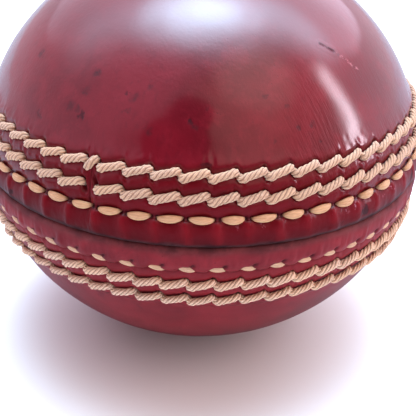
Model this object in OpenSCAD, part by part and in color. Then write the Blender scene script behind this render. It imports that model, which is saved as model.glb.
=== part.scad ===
// Sewn leather ball.
// Four leather quarters are sewn into two cups, and the cups are closed over a
// wound cork core by a raised seam with six rows of stitching.
// Units are millimetres. The origin is the centre of the ball, the seam lies in
// the XY plane and +Z runs through the pole of the upper cup. The upper cup's
// quarter seam lies in the YZ plane, the lower cup's in the XZ plane.

/* [Ball] */
// Diameter over the raised lips of the seam
seam_d = 72.9; // [71:0.1:74]
// Height from pole to pole
pole_h = 64.6; // [62:0.1:68]
// Spherical zones that make up the curve from the seam to a pole
zones = 6; // [4:1:8]

/* [Leather] */
// Thickness of the leather cups
leather_t = 3.8; // [3.4:0.1:4.2]
// Height of the lips above the cups
lip_rise = 0.6; // [0.4:0.05:0.8]
// Height of the sewn band above the cups
band_rise = 0.25; // [0.1:0.05:0.35]
// Half width of the sewn band
band_half = 11.8; // [11.4:0.1:13]
// Radius of each rounded lip
lip_r = 1.62; // [1.4:0.02:1.7]
// Gap between two pieces of leather that butt together
butt_gap = 0.04; // [0.02:0.01:0.1]
// Depth of the crease along a quarter seam
crease_depth = 0.2; // [0.1:0.05:0.4]
// Width of the crease along a quarter seam
crease_w = 0.3; // [0.2:0.05:0.6]

/* [Twisted cord rows] */
// Thickness of the cord
cord_d = 1.2; // [1:0.05:1.25]
// Height of the row nearest the joint
inner_row_z = 6.5; // [6.3:0.1:6.7]
// Height of the row farthest from the joint
outer_row_z = 9.6; // [9.5:0.1:9.8]
// Stitches in each half of an upper row
upper_half_count = 28; // [26:1:29]
// Stitches in a lower row
lower_count = 58; // [54:1:60]
// Lean of each stitch from the row's direction, in degrees
lean = 9; // [4:1:10]
// Direction of the first stitch of the lower rows, in degrees
lower_phase = -58.2; // [-180:0.1:180]
// How far the cord's middle stands above the band
cord_rise = 0.19; // [0.17:0.01:0.3]
// Radius of the groove that holds a row
groove_r = 1.15; // [1.1:0.01:1.18]
// Height of the groove's centre above the band
groove_rise = 0.62; // [0.58:0.01:0.64]

/* [Closing stitches] */
// Stitches around the closing rows
closing_count = 53; // [48:1:56]
// Distance of the closing rows from the joint
closing_z = 3.75; // [3.7:0.05:3.85]
// Length of a closing stitch
closing_l = 3.6; // [3:0.1:3.9]
// Width of a closing stitch
closing_w = 1.25; // [0.9:0.05:1.25]
// Thickness of a closing stitch
closing_t = 0.8; // [0.6:0.05:0.8]
// Direction of the first upper closing stitch, in degrees
closing_phase = -57.8; // [-180:0.1:180]
// Shift of the lower closing row, as a share of the pitch
closing_shift = 0.55; // [0:0.05:1]
// Thickness of the run that crosses the joint
cross_d = 0.8; // [0.6:0.05:0.84]
// Length of the run that crosses the joint
cross_l = 6; // [5:0.1:6.2]

/* [Quarter seams] */
// Thickness of the hidden thread
hidden_d = 0.6; // [0.4:0.05:0.6]
// Length of a hidden stitch across the seam
hidden_l = 3.6; // [2.6:0.1:3.8]
// Hidden stitches from the band to the pole
hidden_count = 9; // [6:1:10]
// Thickness of the lining strip
lining_t = 0.57; // [0.4:0.01:0.57]
// Width of the lining strip
lining_w = 9.8; // [7:0.1:9.8]

/* [Core] */
// Radius of the cork centre
core_r = 9.5; // [9:0.1:9.6]
// Thickness of each inner winding
winding_t = 2.95; // [2.6:0.05:2.95]
// Thickness of the cork slips
slip_t = 1.2; // [0.8:0.1:1.2]
// Cork slips in each layer
slip_count = 6; // [4:1:8]
// Share of the way round that the slips cover
slip_cover = 0.86; // [0.6:0.01:0.92]
// Gap between two layers
layer_gap = 0.05; // [0.03:0.01:0.06]

/* [Colours] */
// Upper leather
red_a = "#9c1f33"; // [#9c1f33:Bright red, #7d1a2b:Dark red]
// Lower leather
red_b = "#8e2136"; // [#8e2136:Bright red, #7d1a2b:Dark red]
// Twisted cord
cord_c = "#dcc3a4"; // [#dcc3a4:Cream, #f0ead8:White]
// Closing thread
wax_c = "#dcb47c"; // [#dcb47c:Waxed tan, #f0ead8:White]

/* [Hidden] */

$fn = 96;
half_w = seam_d / 2 - lip_rise;              // half width of the cups
half_h = pole_h / 2;                         // half height of the cups
far = 4 * half_w;
lip_x = seam_d / 2 - lip_r;                  // centre of a lip's round
lip_z = lip_r + 0.1;
cord_pitch = 360 / (2 * upper_half_count + 1);
lower_pitch = 360 / lower_count;
closing_pitch = 360 / closing_count;
row_len = PI * 2 * (half_w - 1.2) / 57 * 0.995; // length of a cord stitch
slot_r = half_w - leather_t + 1;             // slot behind the joint
slot_t = 0.9;
slot_h = 3.2;
channel_t = 1.3;                             // recess over a quarter seam
channel_w = 10.2;
channel_z = 4.4;
step = winding_t + slip_t + 2 * layer_gap;   // one winding and its slips

// The cups follow an oval of half width half_w and half height half_h. Where its
// normal is at angle a, a circle of radius oval_r(a) centred on the axis at
// height oval_c(a) just touches the oval from outside.
function oval_n(a) = sqrt(pow(half_w * cos(a), 2) + pow(half_h * sin(a), 2));
function oval_r(a) = half_w * half_w / oval_n(a);
function oval_c(a) = (half_h * half_h - half_w * half_w) * sin(a) / oval_n(a);

// Direction of the oval's normal at height z.
function lean_at(z) = asin(z * half_w / sqrt(pow(half_h, 4)
                      + z * z * (half_w * half_w - half_h * half_h)));

// Point at distance d outside the oval, where its normal is at angle a.
function on_cup(a, d) = [(oval_r(a) + d) * cos(a), oval_c(a) + (oval_r(a) + d) * sin(a)];

// The area shared by the touching circles, moved outwards by d.
module oval(d) {
    intersection_for (i = [0 : 2 * zones - 1]) {
        a = (i + 0.5) * 90 / zones - 90;
        translate([0, oval_c(a)]) circle(oval_r(a) + d);
    }
}

// Right half of the ball's outline, moved outwards by d.
module outline(d = 0) {
    intersection() {
        oval(d);
        translate([0, -far]) square([far, 2 * far]);
    }
}

// The whole ball, moved outwards by d.
module ball(d = 0) {
    rotate_extrude() outline(d);
}

// Groove for a row of stitches, its centre at height z and rise above the band.
module groove(z, r, rise) {
    translate(on_cup(lean_at(z), band_rise + rise)) circle(r);
}

// Section through the upper cup.
module cup_section() {
    lean_z = band_half + half_w * sqrt(1 - pow(band_half / half_h, 2));
    difference() {
        union() {
            difference() {
                union() {
                    outline();
                    intersection() {
                        outline(band_rise);
                        polygon([[0, -1], [0, lean_z], [lean_z + 1, -1]]);
                    }
                }
                translate([lip_x, -1]) square([8, 1 + lip_z + lip_r]);
            }
            translate([lip_x, lip_z]) circle(lip_r);
        }
        outline(-leather_t);
        groove(closing_z, 0.85, -0.1);
        groove(inner_row_z, groove_r, groove_rise);
        groove(outer_row_z, groove_r, groove_rise);
        translate([slot_r, -1]) square([slot_t, 1 + slot_h]);
        translate([-1, -far]) square([far, far + butt_gap / 2]);
    }
}

// Half of the upper cup, on the side of +Y, ready to be turned.
module quarter() {
    difference() {
        translate([0, butt_gap / 2, 0]) rotate_extrude(angle = 180) cup_section();
        // recess for the hidden stitches and the lining strip
        intersection() {
            ball(channel_t - leather_t);
            translate([-far / 2, -channel_w / 2, channel_z]) cube([far, channel_w, far]);
        }
        // crease along the seam
        difference() {
            translate([-far / 2, -crease_w / 2, -1]) cube([far, crease_w, far]);
            ball(-crease_depth);
        }
    }
}

// A round stitch of length l and thickness d with ball ends, along Z.
module stitch(l, d) {
    h = round(500 * (l - d)) / 1000; // whole micrometres, so the pieces meet
    rotate_extrude() union() {
        translate([0, -h]) square([d / 2, 2 * h]);
        for (s = [0, 1]) mirror([0, s]) translate([0, h]) intersection() {
            circle(d / 2);
            square([d, d]);
        }
    }
}

// A pointed oval stitch of length l, width w and thickness t, along Z, with a
// flat underside and a domed outer face towards +X.
module oval_stitch(l, w, t) {
    side = (l * l + w * w) / (4 * w);
    dome = 0.95 * l;
    intersection() {
        translate([-t / 2, 0, 0]) rotate([0, 90, 0]) linear_extrude(2 * t)
            intersection() {
                translate([0, w / 2 - side]) circle(side);
                translate([0, side - w / 2]) circle(side);
            }
        translate([t / 2 - dome, 0, 0]) sphere(dome);
    }
}

// Places its child on the band at direction az and height z, its length along
// the row, leaning by t degrees, its middle at rise above the band.
module on_row(az, z, rise, t) {
    a = lean_at(z);
    p = on_cup(a, band_rise + rise);
    rotate([0, 0, az]) translate([p[0], 0, p[1]]) rotate([0, -a, 0]) rotate([t - 90, 0, 0]) children();
}

// A row of the upper cup: two halves with a short gap at the quarter seam.
module upper_row(z) {
    for (h = [0, 1], j = [0 : upper_half_count - 1])
        on_row(-90 + 180 * h + cord_pitch * (0.75 + j), z, cord_rise, lean)
            stitch(row_len, cord_d);
}

module lower_row(z) {
    for (j = [0 : lower_count - 1])
        on_row(lower_phase + lower_pitch * j, z, cord_rise, lean)
            stitch(row_len * 57 / 58, cord_d);
}

// Hidden stitches of one quarter seam, in the XZ plane of the upper cup.
module hidden_stitches() {
    d = hidden_d / 2 + lining_t + 0.06 - leather_t;
    for (s = [0, 1], j = [0 : hidden_count]) {
        a = 90 - j * 74 / hidden_count;
        p = on_cup(a, d);
        if (s == 0 || j > 0)
            rotate([0, 0, 180 * s]) translate([p[0], 0, p[1]])
                rotate([-90, 0, 0]) stitch(hidden_l, hidden_d);
    }
}

// Lining strip of one quarter seam, in the XZ plane of the upper cup.
module lining_strip() {
    intersection() {
        difference() {
            ball(lining_t + 0.03 - leather_t);
            ball(0.03 - leather_t);
        }
        translate([-far / 2, -lining_w / 2, channel_z + 0.1])
            cube([far, lining_w, far]);
    }
}

// Round layer k of the core, from the centre out, starting at 1.
function layer_in(k) = core_r + layer_gap + (k - 1) * step;

module winding(k) {
    difference() {
        sphere(layer_in(k) + winding_t);
        sphere(layer_in(k));
    }
}

// Layer k of cork slips, each a curved strip from near one pole to near the other.
module slips(k) {
    r = layer_in(k) + winding_t + layer_gap;
    turn = 360 / slip_count;
    for (j = [0 : slip_count - 1]) rotate([0, 0, j * turn])
        rotate_extrude(angle = turn * slip_cover) difference() {
            intersection() {
                circle(r + slip_t);
                translate([0, -0.9 * r]) square([2 * r, 1.8 * r]);
            }
            circle(r);
        }
}

// ---- leather ----

module quarter_upper_right() {
    color(red_a) rotate([0, 0, -90]) quarter();
}

module quarter_upper_left() {
    color(red_a) rotate([0, 0, 90]) quarter();
}

module quarter_lower_front() {
    color(red_b) rotate([180, 0, 0]) quarter();
}

module quarter_lower_back() {
    color(red_b) rotate([180, 0, 180]) quarter();
}

// ---- threads of the main seam ----

module cord_upper_outer() {
    color(cord_c) {
        upper_row(outer_row_z);
        // a short stitch steps over each end of the quarter seam
        for (s = [-1, 1])
            on_row(90 * s, outer_row_z, cord_rise, 4 * lean)
                stitch(1.5 * cord_d, cord_d);
    }
}

module cord_upper_inner() {
    color(cord_c) upper_row(inner_row_z);
}

module closing_upper() {
    color(wax_c) for (j = [0 : closing_count - 1])
        on_row(closing_phase + closing_pitch * j, closing_z, -0.22, 3)
            oval_stitch(closing_l, closing_w, closing_t);
}

module closing_lower() {
    color(wax_c) for (j = [0 : closing_count - 1])
        on_row(closing_phase + closing_pitch * (j + closing_shift), -closing_z, -0.22, 3)
            oval_stitch(closing_l, closing_w, closing_t);
}

module closing_cross_runs() {
    color(wax_c) for (j = [0 : closing_count - 1])
        rotate([0, 0, closing_phase + closing_pitch * (j + 0.5)])
            translate([slot_r + slot_t / 2, 0, 0]) stitch(cross_l, cross_d);
}

module cord_lower_inner() {
    color(cord_c) lower_row(-inner_row_z);
}

module cord_lower_outer() {
    color(cord_c) lower_row(-outer_row_z);
}

// ---- quarter seams ----

module hidden_thread_upper() {
    color(cord_c) rotate([0, 0, 90]) hidden_stitches();
}

module hidden_thread_lower() {
    color(cord_c) rotate([180, 0, 0]) hidden_stitches();
}

module lining_upper() {
    color("#b98d62") rotate([0, 0, 90]) lining_strip();
}

module lining_lower() {
    color("#b98d62") rotate([180, 0, 0]) lining_strip();
}

// ---- core ----

module winding_5() {
    color("#e6dcc3") difference() {
        ball(-leather_t - layer_gap);
        sphere(layer_in(5));
    }
}

module winding_4() { color("#ddd0b0") winding(4); }
module winding_3() { color("#e6dcc3") winding(3); }
module winding_2() { color("#ddd0b0") winding(2); }
module winding_1() { color("#e6dcc3") winding(1); }

module cork_slips_4() { color("#b5854f") rotate([0, 0, 15]) slips(4); }
module cork_slips_3() { color("#b5854f") rotate([0, 0, 45]) slips(3); }
module cork_slips_2() { color("#b5854f") rotate([0, 0, 15]) slips(2); }
module cork_slips_1() { color("#b5854f") rotate([0, 0, 45]) slips(1); }

module cork_core() {
    color("#a87442") sphere(core_r);
}

quarter_upper_right();
quarter_upper_left();
quarter_lower_front();
quarter_lower_back();
cord_upper_outer();
cord_upper_inner();
closing_upper();
closing_lower();
closing_cross_runs();
cord_lower_inner();
cord_lower_outer();
hidden_thread_upper();
hidden_thread_lower();
lining_upper();
lining_lower();
winding_5();
cork_slips_4();
winding_4();
cork_slips_3();
winding_3();
cork_slips_2();
winding_2();
cork_slips_1();
winding_1();
cork_core();
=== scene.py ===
import bpy, math
import numpy as np
from mathutils import Matrix, Vector


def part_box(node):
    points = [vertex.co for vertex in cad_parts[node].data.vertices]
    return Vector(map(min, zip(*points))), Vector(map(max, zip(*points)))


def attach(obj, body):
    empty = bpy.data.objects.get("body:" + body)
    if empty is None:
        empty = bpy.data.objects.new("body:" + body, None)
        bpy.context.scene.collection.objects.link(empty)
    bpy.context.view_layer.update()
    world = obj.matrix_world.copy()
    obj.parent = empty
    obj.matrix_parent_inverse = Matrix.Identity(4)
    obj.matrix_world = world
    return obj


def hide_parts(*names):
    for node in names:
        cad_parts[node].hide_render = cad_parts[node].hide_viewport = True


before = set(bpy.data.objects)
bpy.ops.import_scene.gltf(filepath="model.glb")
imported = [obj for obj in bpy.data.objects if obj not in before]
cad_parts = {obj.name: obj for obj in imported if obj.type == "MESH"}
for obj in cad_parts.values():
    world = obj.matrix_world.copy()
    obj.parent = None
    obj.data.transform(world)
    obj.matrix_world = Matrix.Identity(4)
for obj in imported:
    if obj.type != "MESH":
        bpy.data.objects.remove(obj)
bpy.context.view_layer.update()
MM = 0.001

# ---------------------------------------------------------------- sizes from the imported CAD, in millimetres
def cad_box(node):
    lo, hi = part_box(node)
    return np.array(lo) / MM, np.array(hi) / MM

q_lo, q_hi = cad_box("quarter_upper_right")
CREST = float(q_hi[0])                       # radius over the lips
HALF_H = float(q_hi[2])                      # pole height
LIP_RISE, BAND_RISE = 0.6, 0.25              # as in part.scad
HALF_W = CREST - LIP_RISE - 0.02
LEATHER_T = 3.8

def row_z(node):
    lo, hi = cad_box(node)
    return abs(float(lo[2] + hi[2]) / 2)

Z_OUT, Z_IN, Z_CL = 9.6, row_z("cord_upper_inner"), row_z("closing_upper")

# stitch plan, repeated from part.scad
N_HALF = 28
PITCH_UP = 360.0 / (2 * N_HALF + 1)
N_LOW, PHASE_LOW = 58, -58.2
PITCH_LOW = 360.0 / N_LOW
N_CL, PHASE_CL, SHIFT_CL = 53, -57.8, 0.55
PITCH_CL = 360.0 / N_CL
CAM_AZ = -65.0

# ---------------------------------------------------------------- noise in numpy, seeded by its arguments only
def _hash(ix, iy, iz, seed):
    n = (ix.astype(np.int64) * 374761393 + iy.astype(np.int64) * 668265263
         + iz.astype(np.int64) * 1442695041 + seed * 1274126177) & 0xFFFFFFFF
    n = ((n ^ (n >> 13)) * 1274126177) & 0xFFFFFFFF
    n = ((n ^ (n >> 15)) * 2246822519) & 0xFFFFFFFF
    return ((n ^ (n >> 16)) & 0xFFFFFF) / float(0xFFFFFF) * 2 - 1

def vnoise(p, seed=0):
    """Smooth noise in -1..1 at points p (..., 3)."""
    f = np.floor(p)
    t = p - f
    t = t * t * t * (t * (6 * t - 15) + 10)
    i = f.astype(np.int64)
    out = 0
    for a in (0, 1):
        wa = t[..., 0] if a else 1 - t[..., 0]
        for b in (0, 1):
            wb = t[..., 1] if b else 1 - t[..., 1]
            for c in (0, 1):
                wc = t[..., 2] if c else 1 - t[..., 2]
                out = out + wa * wb * wc * _hash(i[..., 0] + a, i[..., 1] + b, i[..., 2] + c, seed)
    return out

def fbm(p, octaves=3, seed=0, gain=0.5):
    out, amp, total = 0, 1.0, 0.0
    for k in range(octaves):
        out = out + amp * vnoise(p * (2.03 ** k) + 17.3 * k, seed + k)
        total += amp
        amp *= gain
    return out / total

def sstep(a, b, x):
    t = np.clip((x - a) / (b - a), 0, 1)
    return t * t * (3 - 2 * t)

# ---------------------------------------------------------------- the ball's outline, as in part.scad
def lean_at(z):
    z = np.asarray(z, float)
    return np.arcsin(np.clip(z * HALF_W / np.sqrt(HALF_H ** 4 + z * z * (HALF_W ** 2 - HALF_H ** 2)), -1, 1))

def on_cup(a, d):
    n = np.sqrt((HALF_W * np.cos(a)) ** 2 + (HALF_H * np.sin(a)) ** 2)
    r = HALF_W ** 2 / n
    c = (HALF_H ** 2 - HALF_W ** 2) * np.sin(a) / n
    return (r + d) * np.cos(a), c + (r + d) * np.sin(a)

R_OUT = float(on_cup(lean_at(Z_OUT), BAND_RISE)[0])
R_IN = float(on_cup(lean_at(Z_IN), BAND_RISE)[0])
R_CL = float(on_cup(lean_at(Z_CL), BAND_RISE)[0])

# ---------------------------------------------------------------- mesh helper
def make_mesh(name, co, quads=None, tris=None, attrs=None, smooth=True, vec_attrs=None, flat_last=0):
    """Builds a mesh object from points in millimetres and arrays of quads and triangles; the last flat_last triangles are flat shaded."""
    me = bpy.data.meshes.new(name)
    co = np.asarray(co, np.float64) * MM
    quads = np.zeros((0, 4), np.int32) if quads is None else np.asarray(quads, np.int32)
    tris = np.zeros((0, 3), np.int32) if tris is None else np.asarray(tris, np.int32)
    me.vertices.add(len(co))
    me.vertices.foreach_set("co", co.astype(np.float32).ravel())
    loops = np.concatenate([quads.ravel(), tris.ravel()])
    me.loops.add(len(loops))
    me.loops.foreach_set("vertex_index", loops)
    starts = np.concatenate([np.arange(len(quads)) * 4, len(quads) * 4 + np.arange(len(tris)) * 3])
    totals = np.concatenate([np.full(len(quads), 4), np.full(len(tris), 3)])
    me.polygons.add(len(starts))
    me.polygons.foreach_set("loop_start", starts.astype(np.int32))
    me.polygons.foreach_set("loop_total", totals.astype(np.int32))
    soft = np.full(len(starts), smooth, bool)
    if flat_last:
        soft[-flat_last:] = False
    me.polygons.foreach_set("use_smooth", soft)
    me.update(calc_edges=True)
    me.validate()
    for key, values in (attrs or {}).items():
        at = me.attributes.new(key, "FLOAT", "POINT")
        at.data.foreach_set("value", np.asarray(values, np.float32).ravel())
    for key, values in (vec_attrs or {}).items():
        at = me.attributes.new(key, "FLOAT_VECTOR", "POINT")
        at.data.foreach_set("vector", np.asarray(values, np.float32).ravel())
    ob = bpy.data.objects.new(name, me)
    bpy.context.scene.collection.objects.link(ob)
    return ob

# ---------------------------------------------------------------- leather quarters
# Keyed sections through the lip and its trough: (distance outside the oval, height above the joint).
# A runs through the middle of a closing stitch, B through the leather between two of them.
UP_A = [(-1.60, 0.02), (-1.15, -0.10), (-0.62, -0.27), (-0.12, -0.36), (0.26, -0.22), (0.46, 0.22), (0.56, 0.85), (0.58, 1.50), (0.52, 2.10),
        (0.37, 2.62), (0.14, 3.02), (-0.06, 3.32), (-0.14, 3.64), (-0.11, 4.00), (0.02, 4.36), (0.16, 4.76), (0.24, 5.30)]
UP_B = [(-1.60, 0.02), (-1.15, -0.10), (-0.60, -0.28), (-0.08, -0.38), (0.30, -0.24), (0.50, 0.20), (0.61, 0.85), (0.65, 1.50), (0.64, 2.12),
        (0.59, 2.68), (0.46, 3.12), (0.28, 3.46), (0.12, 3.76), (0.05, 4.06), (0.09, 4.40), (0.18, 4.78), (0.24, 5.30)]
LO_A = [(-1.60, 0.04), (-1.15, 0.14), (-0.62, 0.32), (-0.14, 0.50), (0.18, 0.78), (0.38, 1.18), (0.50, 1.70), (0.56, 2.24), (0.56, 2.78),
        (0.50, 3.26), (0.36, 3.58), (0.12, 3.74), (-0.12, 3.76), (-0.22, 3.94), (-0.10, 4.34), (0.12, 4.84), (0.24, 5.60)]
LO_B = [(-1.60, 0.04), (-1.15, 0.14), (-0.62, 0.32), (-0.14, 0.50), (0.20, 0.78), (0.40, 1.18), (0.54, 1.70), (0.61, 2.30), (0.64, 2.90),
        (0.61, 3.46), (0.52, 3.96), (0.36, 4.30), (0.16, 4.42), (0.00, 4.47), (0.02, 4.68), (0.13, 5.06), (0.24, 5.60)]

def catmull(pts, t):
    """Catmull-Rom through pts at parameters t in 0..len-1."""
    pts = np.asarray(pts, float)
    ext = np.vstack([2 * pts[0] - pts[1], pts, 2 * pts[-1] - pts[-2]])
    i = np.clip(np.floor(t).astype(int), 0, len(pts) - 2)
    f = (t - i)[:, None]
    p0, p1, p2, p3 = ext[i], ext[i + 1], ext[i + 2], ext[i + 3]
    return 0.5 * ((2 * p1) + (-p0 + p2) * f + (2 * p0 - 5 * p1 + 4 * p2 - p3) * f ** 2 + (-p0 + 3 * p1 - 3 * p2 + p3) * f ** 3)

def columns(a0, a1, base, fine):
    """Azimuths from a0 to a1, closer together near both ends; their number of cells is a multiple of 4."""
    g = np.linspace(a0, a1, 4001)
    edge = np.minimum(g - a0, a1 - g)
    sp = fine + (base - fine) * sstep(1.2, 5.0, edge)
    cum = np.concatenate([[0], np.cumsum(0.5 * (1 / sp[1:] + 1 / sp[:-1]) * np.diff(g))])
    n = int(math.ceil(cum[-1] / 4) * 4)
    return np.interp(np.linspace(0, cum[-1], n + 1), cum, g)

def wrap(x, period):
    """x folded into -period/2..period/2."""
    return x - period * np.round(x / period)

def cord_path(h, lean, kind):
    """Middle line of one twisted-cord stitch: (along, up, out) from the middle of its row, h half its pitch in mm.
    It comes up out of the hole it shares with the stitch before, swings low, climbs along the row and hooks down into the next hole."""
    v = math.tan(math.radians(lean)) * h
    if kind == "short":
        return [(-h * 0.56, -0.20, -1.0), (-h * 0.68, -0.40, -0.45), (-h * 0.58, -0.56, 0.02), (-h * 0.20, -0.28, 0.22), (h * 0.16, 0.14, 0.24),
                (h * 0.48, 0.50, 0.08), (h * 0.64, 0.50, -0.42), (h * 0.58, 0.36, -1.0)]
    return [(-h + 0.48, 0.02, -1.0), (-h + 0.31, -0.18, -0.45), (-h + 0.31, -v - 0.07, 0.02), (-h + 0.66, -v - 0.11, 0.22),
            (-h * 0.42, -v * 0.66, 0.29), (0.02, 0.0, 0.31), (h * 0.44, v * 0.62, 0.29), (h - 0.76, v * 1.08, 0.23),
            (h - 0.34, v * 1.14, 0.04), (h - 0.16, v * 0.50, -0.42), (h - 0.28, -0.06, -1.0)]

def stitch_plan(row):
    """List of (azimuth, half pitch in mm, kind) for a row."""
    out = []
    if row in ("up_out", "up_in"):
        r = R_OUT if row == "up_out" else R_IN
        h = math.radians(PITCH_UP) * r / 2
        for half in (0, 1):
            for j in range(N_HALF):
                out.append((-90 + 180 * half + PITCH_UP * (0.75 + j), h, "long"))
        if row == "up_out":
            out += [(-90.0, h * 0.5, "short"), (90.0, h * 0.5, "short")]
    else:
        r = R_OUT if row == "lo_out" else R_IN
        h = math.radians(PITCH_LOW) * r / 2
        for j in range(N_LOW):
            out.append((PHASE_LOW + PITCH_LOW * j, h, "long"))
    return out

LEAN = 9.5

def leather_height(az, s, lower, pts):
    """Height in mm to add along the surface's normal, with masks for the materials. az in degrees, s = height above the joint."""
    h = np.zeros_like(s)
    recess_shade = np.zeros_like(s)
    sign = -1.0 if lower else 1.0
    # the sewn band ends in a low, slightly wavy step
    edge = 11.35 + 0.18 * vnoise(pts * np.array([0.11, 0.11, 0.0]) + 3.1, 5)
    soft = 0.7 if lower else 1.7
    h -= BAND_RISE * sstep(edge - soft, edge + soft, s)
    if lower:
        h -= 0.04 * np.exp(-((s - edge - 0.5) / 0.45) ** 2)
    # grooves and holes of the two cord rows
    for zr, r, row in ((Z_IN, R_IN, "in"), (Z_OUT, R_OUT, "out")):
        pitch = PITCH_LOW if lower else PITCH_UP
        half = math.radians(pitch) * r / 2
        if lower:
            k = (az - PHASE_LOW) / pitch
            u = wrap(k, 1.0) * 2 * half
            present = np.ones_like(s)
            ub = wrap(k + 0.5, 1.0) * 2 * half               # distance from the nearest hole
            hole = np.ones_like(s)
        else:
            rel = np.mod(az + 90, 180)
            k = rel / pitch - 0.75
            j = np.clip(np.round(k), 0, N_HALF - 1)
            u = (k - j) * 2 * half
            present = sstep(half + 0.35, half + 0.1, np.abs(u))
            jb = np.clip(np.round(k + 0.5), 0, N_HALF)
            ub = (k + 0.5 - jb) * 2 * half
            hole = np.ones_like(s)
        v = (s - zr) * sign
        slope = math.tan(math.radians(LEAN))
        line = np.clip(u, -half, half) * slope
        dist = v - line
        wob = 0.10 * vnoise(pts * 0.55, 11)
        h -= present * (0.30 + wob) * np.exp(-(dist / 0.66) ** 2)
        # leather swells a little on both sides of a row
        h += present * 0.045 * np.exp(-((np.abs(dist) - 1.25) / 0.55) ** 2)
        jit = 0.12 * vnoise(pts * 0.9, 23)
        skew = ub + 0.22 * v                             # the holes lean with the step between two stitches
        pit = np.exp(-((skew / (0.34 + 0.06 * jit)) ** 2)) * np.exp(-((v + jit) / 0.95) ** 4)
        h -= hole * 0.62 * pit
        # painted shade: dark in each hole and along the groove under the cord
        recess_shade = np.maximum(recess_shade, hole * np.exp(-((skew / 0.36) ** 2)) * np.exp(-((v + jit) / 1.00) ** 4))
        recess_shade = np.maximum(recess_shade, 0.45 * present * np.exp(-(dist / 0.72) ** 4))
        if row == "in" and not lower:                    # the two rows of holes end in open holes beside the quarter seam
            ds = wrap((az + 90) / 180, 1.0) * math.pi * r
            for cx, cy, strong in ((0.72, 1.00, 1.0), (-0.80, -0.75, 0.95)):
                d2 = ((ds - cx) / 0.36) ** 2 + ((v - cy) / 0.58) ** 2
                h -= 0.42 * np.exp(-d2 ** 1.1)
                # painted shade in the two open holes beside the seam
                recess_shade = np.maximum(recess_shade, strong * np.exp(-(d2 / 1.4) ** 1.2))
        # small puckers that run out from the holes
        h += hole * np.where(s > 10.2, 0.03, 0.06) * np.exp(-(ub / 0.9) ** 2) * np.cos(ub * 5.2) * np.exp(-((np.abs(v) - 1.45) / 0.65) ** 2)
    # closing stitches: holes at both ends, folds in the lip
    phase = PHASE_CL + (PITCH_CL * SHIFT_CL if lower else 0)
    uc = wrap((az - phase) / PITCH_CL, 1.0) * math.radians(PITCH_CL) * R_CL
    halfc = math.radians(PITCH_CL) * R_CL / 2
    ug = wrap((az - phase) / PITCH_CL + 0.5, 1.0) * 2 * halfc      # distance from the middle of a gap
    zc = 3.86 if lower else Z_CL
    for side in (-1, 1) if not lower else ():
        d2 = ((ug - side * 0.36) / 0.22) ** 2 + ((s - zc - 0.05) / 0.30) ** 2
        h -= 0.42 * np.exp(-d2 ** 1.2)
        # painted shade in each closing hole
        recess_shade = np.maximum(recess_shade, 0.92 * np.exp(-(d2 / 1.3) ** 1.3))
    if lower:
        kk = np.round((az - phase) / PITCH_CL)
        push = 0.16 * vnoise(np.stack([kk * 3.7, kk * 0.0, kk * 0.0], -1) + 0.37, 91)
        d2 = ((uc - 0.86 - push) / 0.36) ** 2 + ((s - 3.34 - push + 0.45 * (uc - 0.86)) / 0.27) ** 2
        h -= 0.30 * np.exp(-d2 ** 1.1)
        # painted shadow at the right end of each sliver, under the lip's edge
        recess_shade = np.maximum(recess_shade, (0.80 + 0.9 * push) * np.exp(-(d2 / 1.5) ** 1.2))
    lip = sstep(-0.3 if not lower else 0.7, 0.5 if not lower else 1.5, s) * (1 - sstep(2.9, 3.9, s))
    # folds that cross the lip from the gaps to the joint
    nz = fbm(pts * np.array([0.8, 0.8, 0.35]), 3, 31)
    fold = np.exp(-((ug + 0.50 * nz + 0.12 * (s - 2)) / 0.72) ** 2)
    amp = 0.17 + 0.13 * vnoise(pts * np.array([0.17, 0.17, 0.0]) + 9.2, 41)
    h += lip * (amp * (fold - 0.42) if not lower else 0.42 * amp * (fold - 0.45))
    # a sharper crease where the thread draws the lip in beside each hole
    for side in (-1, 1):
        h -= lip * sstep(0.9, 2.8, s) * 0.11 * np.exp(-((ug - side * 0.62 + 0.3 * nz) / 0.20) ** 2)
    # fine wrinkles down the lip and in the trough
    h += lip * 0.055 * fbm(pts * np.array([1.5, 1.5, 0.5]), 3, 53)
    h += lip * 0.03 * fbm(pts * np.array([3.4, 3.4, 1.2]), 2, 57)
    h += sstep(3.4, 4.2, s) * (1 - sstep(12.0, 13.0, s)) * 0.045 * fbm(pts * 0.75, 3, 61)
    # brown polish in the joint; painted shade, dark in the trough
    jw = 0.70 + 0.30 * vnoise(pts * np.array([0.35, 0.35, 0.0]) + 5.0, 71)
    joint = (1 - sstep(-0.30 + 0.45 * jw, -0.05 + 0.75 * jw, s)) if not lower else (1 - sstep(0.40 + 0.3 * jw, 1.25 + 1.1 * jw, s)) ** 0.8
    if lower:
        # painted shadow: the dark line under the lip's lobes
        edge4 = 3.88 + 0.64 * sstep(0.10, 0.80, np.abs(uc) / halfc)      # the dark line follows the lobes of the lip
        trough = np.exp(-((s - edge4) / 0.27) ** 4) * (0.86 + 0.14 * vnoise(pts * 0.8, 77))
    else:
        trough = np.exp(-((s - 3.95) / 0.40) ** 2) * (0.55 + 0.3 * vnoise(pts * 0.8, 77)) * sstep(0.0, 1.0, np.abs(uc) / halfc)
    recess_shade = np.maximum(recess_shade, 0.9 * trough)
    # lumps and dents over the whole ball
    h += 0.075 * fbm(pts * 0.085, 2, 83) * sstep(4.0, 11.0, s)
    h += 0.022 * fbm(pts * 0.33, 2, 87) * sstep(4.0, 11.0, s)
    return h, np.clip(recess_shade, 0, 1), joint, lip, lip * np.clip(fold, 0, 1)

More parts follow.
